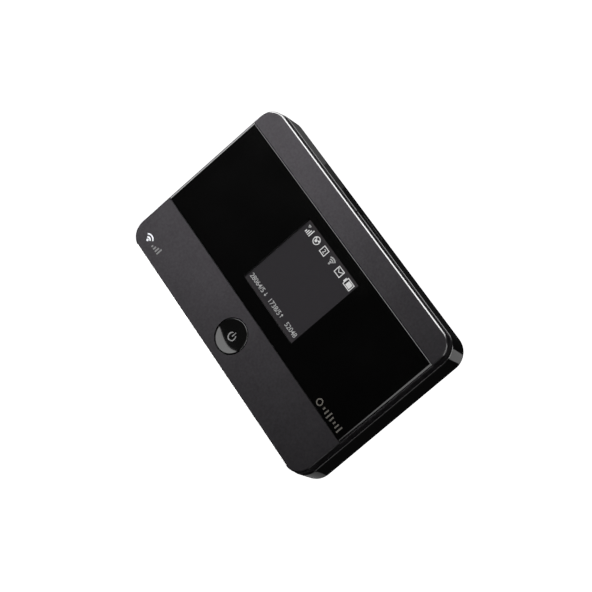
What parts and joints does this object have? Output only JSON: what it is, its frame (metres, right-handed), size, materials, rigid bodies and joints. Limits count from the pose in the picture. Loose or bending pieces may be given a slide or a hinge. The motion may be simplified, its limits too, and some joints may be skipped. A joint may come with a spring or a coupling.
{
  "type": "mobile hotspot",
  "caption": "Pocket wireless router: slim rounded slab with a gloss window over a small display, round power button, side key, snap-off rear tray, battery and card bays.",
  "frame": {"origin": "middle of the flat rear face that the router lies on", "axes": "+X along its length towards the end away from the charging socket, +Y across it towards the side with the menu key, +Z out of the screen"},
  "size_m": [0.1062, 0.0658, 0.0157],
  "materials": {
    "matte_shell": "fine-textured matte",
    "gloss_window": "gloss",
    "black_adhesive": "matte black",
    "display_glass": "smooth",
    "sheet_metal": "pressed",
    "flex_film": "satin film",
    "connector_plastic": "moulded",
    "gloss_black": "high gloss",
    "light_inlay": "satin translucent",
    "switch_metal": "pressed",
    "chassis_plastic": "moulded matte",
    "board_laminate": "solder resist",
    "thermal_rubber": "soft matte",
    "battery_wrap": "cell in black wrap film",
    "label_film": "printed film without text",
    "gold_contact": "gold plated",
    "card_plastic": "card",
    "aerial_metal": "pressed",
    "screw_steel": "black zinc"
  },
  "bodies": {
    "body": {"front_shell": "matte_shell", "window_panel": "gloss_window", "window_adhesive": "black_adhesive", "display_panel": "display_glass", "display_frame": "sheet_metal", "display_flex": "flex_film", "flex_connector": "connector_plastic", "power_switch": "switch_metal", "menu_switch": "switch_metal", "chassis": "chassis_plastic", "main_board": "board_laminate", "modem_shield": "sheet_metal", "radio_shield": "sheet_metal", "supply_shield": "sheet_metal", "modem_chip": "connector_plastic", "radio_chip": "connector_plastic", "supply_chip": "connector_plastic", "thermal_pad": "thermal_rubber", "usb_socket": "sheet_metal", "usb_tongue": "connector_plastic", "battery_connector": "connector_plastic", "battery_springs": "gold_contact", "sim_holder": "sheet_metal", "sim_contacts": "gold_contact", "memory_holder": "sheet_metal", "reset_switch": "switch_metal", "main_antenna": "aerial_metal", "second_antenna": "aerial_metal", "wireless_antenna": "aerial_metal", "chassis_screws": "screw_steel"},
    "power_key": {"power_button": "gloss_black", "power_glyph": "light_inlay"},
    "menu_key": {"menu_button": "gloss_black"},
    "reset_key": {"reset_button": "connector_plastic"},
    "cover": {"rear_cover": "gloss_black"},
    "battery": {"battery_pack": "battery_wrap", "battery_label": "label_film", "battery_pads": "gold_contact"},
    "sim": {"sim_card": "card_plastic"},
    "memory": {"memory_card": "connector_plastic"}
  },
  "joints": [
    {"name": "power_press", "type": "slide", "parent": "body", "child": "power_key", "axis": [0, 0, -1], "range_m": [0, 0.00035], "stiffness_N_per_m": 1500, "springref_m": -0.0002},
    {"name": "menu_press", "type": "slide", "parent": "body", "child": "menu_key", "axis": [0, -1, 0], "range_m": [0, 0.00035], "stiffness_N_per_m": 1500, "springref_m": -0.0002},
    {"name": "reset_press", "type": "slide", "parent": "body", "child": "reset_key", "axis": [0, 0, 1], "range_m": [0, 0.00025], "stiffness_N_per_m": 400, "springref_m": -0.0002},
    {"name": "cover_lift", "type": "slide", "parent": "body", "child": "cover", "axis": [0, 0, -1], "range_m": [0, 0.036]},
    {"name": "battery_lift", "type": "slide", "parent": "body", "child": "battery", "axis": [0, 0, -1], "range_m": [0, 0.018]},
    {"name": "sim_slide", "type": "slide", "parent": "body", "child": "sim", "axis": [0, -1, 0], "range_m": [0, 0.013]},
    {"name": "memory_slide", "type": "slide", "parent": "body", "child": "memory", "axis": [0, -1, 0], "range_m": [0, 0.0115]}
  ],
  "couplings": [
    {"joint": "battery_lift", "follows": "cover_lift", "ratio": 0.5}
  ]
}
